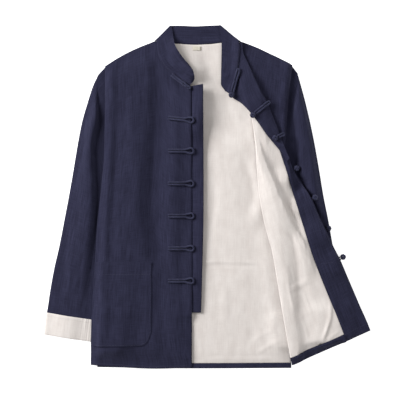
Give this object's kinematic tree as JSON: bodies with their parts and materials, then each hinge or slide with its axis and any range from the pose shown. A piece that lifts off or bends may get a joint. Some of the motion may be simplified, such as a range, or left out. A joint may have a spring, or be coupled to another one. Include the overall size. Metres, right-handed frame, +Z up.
{
  "type": "tang suit jacket laid flat",
  "caption": "Lined Chinese jacket with a standing collar, cord loops and knots, a patch pocket and turned-up cuffs, laid flat with one front thrown open.",
  "frame": {"origin": "centre of the bounding box, on the surface that the jacket lies on", "axes": "+X towards the wearer's left sleeve, +Y from the hem towards the collar, +Z up from the surface"},
  "size_m": [0.7206, 0.7564, 0.0296],
  "materials": {
    "navy_shell": "matt plain-weave cotton, dark navy, soft creases",
    "navy_trim": "round sewn cord of the same navy cloth",
    "cream_lining": "matt plain-weave cotton, warm cream",
    "cuff_lining": "matt plain-weave cotton, warm cream, the lining turned out",
    "label_cloth": "plain white tape, bare"
  },
  "bodies": {
    "root": {"back": "navy_shell", "back_hem_turn_up": "navy_shell", "collar": "navy_shell", "left_facing": "navy_shell", "left_front": "navy_shell", "left_hem_turn_up": "navy_shell", "left_sleeve": "navy_shell", "pocket": "navy_shell", "right_front": "navy_shell", "right_sleeve": "navy_shell", "underlap": "navy_shell", "back_lining": "cream_lining", "left_lining": "cream_lining", "left_cuff": "cuff_lining", "right_cuff": "cuff_lining", "neck_label": "label_cloth", "knot_1": "navy_trim", "knot_2": "navy_trim", "knot_3": "navy_trim", "knot_4": "navy_trim", "knot_5": "navy_trim", "knot_6": "navy_trim", "knot_7": "navy_trim", "loop_1": "navy_trim", "loop_2": "navy_trim", "loop_3": "navy_trim", "loop_4": "navy_trim", "loop_5": "navy_trim", "loop_6": "navy_trim", "loop_7": "navy_trim", "strap_1": "navy_trim", "strap_2": "navy_trim", "strap_3": "navy_trim", "strap_4": "navy_trim", "strap_5": "navy_trim", "strap_6": "navy_trim", "strap_7": "navy_trim"}
  },
  "joints": []
}
